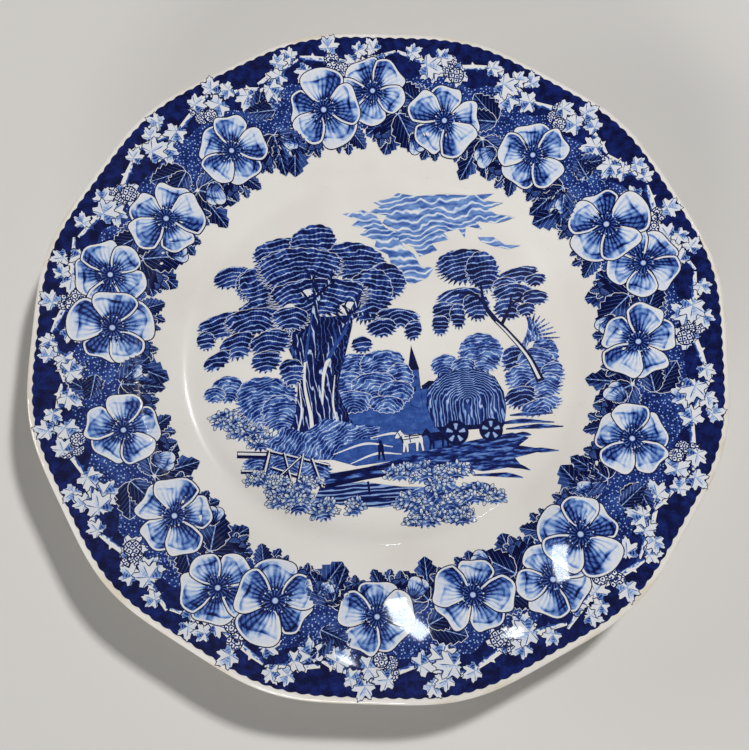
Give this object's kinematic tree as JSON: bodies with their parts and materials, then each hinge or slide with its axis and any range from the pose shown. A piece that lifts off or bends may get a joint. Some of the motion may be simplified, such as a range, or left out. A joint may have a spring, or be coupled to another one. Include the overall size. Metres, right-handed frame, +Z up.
{
  "type": "dinner plate",
  "caption": "Shallow china dinner plate with a lobed rim, a flat well, a foot ring, and blue printed flowers and landscape under a clear glaze.",
  "frame": {"origin": "middle of the circle on which the foot ring stands", "axes": "+Z up along the plate's axis; +Y towards the top of the printed scene"},
  "size_m": [0.2537, 0.2536, 0.0245],
  "materials": {
    "biscuit": "fired earthenware, matt where it is bare on the foot",
    "underglaze_print": "cobalt blue engraved transfer under the glaze",
    "clear_glaze": "clear gloss glaze over a warm white body"
  },
  "bodies": {
    "root": {"plate_body": "biscuit", "centre_print": "underglaze_print", "border_print_1": "underglaze_print", "border_print_2": "underglaze_print", "border_print_3": "underglaze_print", "border_print_4": "underglaze_print", "border_print_5": "underglaze_print", "face_glaze": "clear_glaze", "back_glaze": "clear_glaze", "base_glaze": "clear_glaze"}
  },
  "joints": []
}
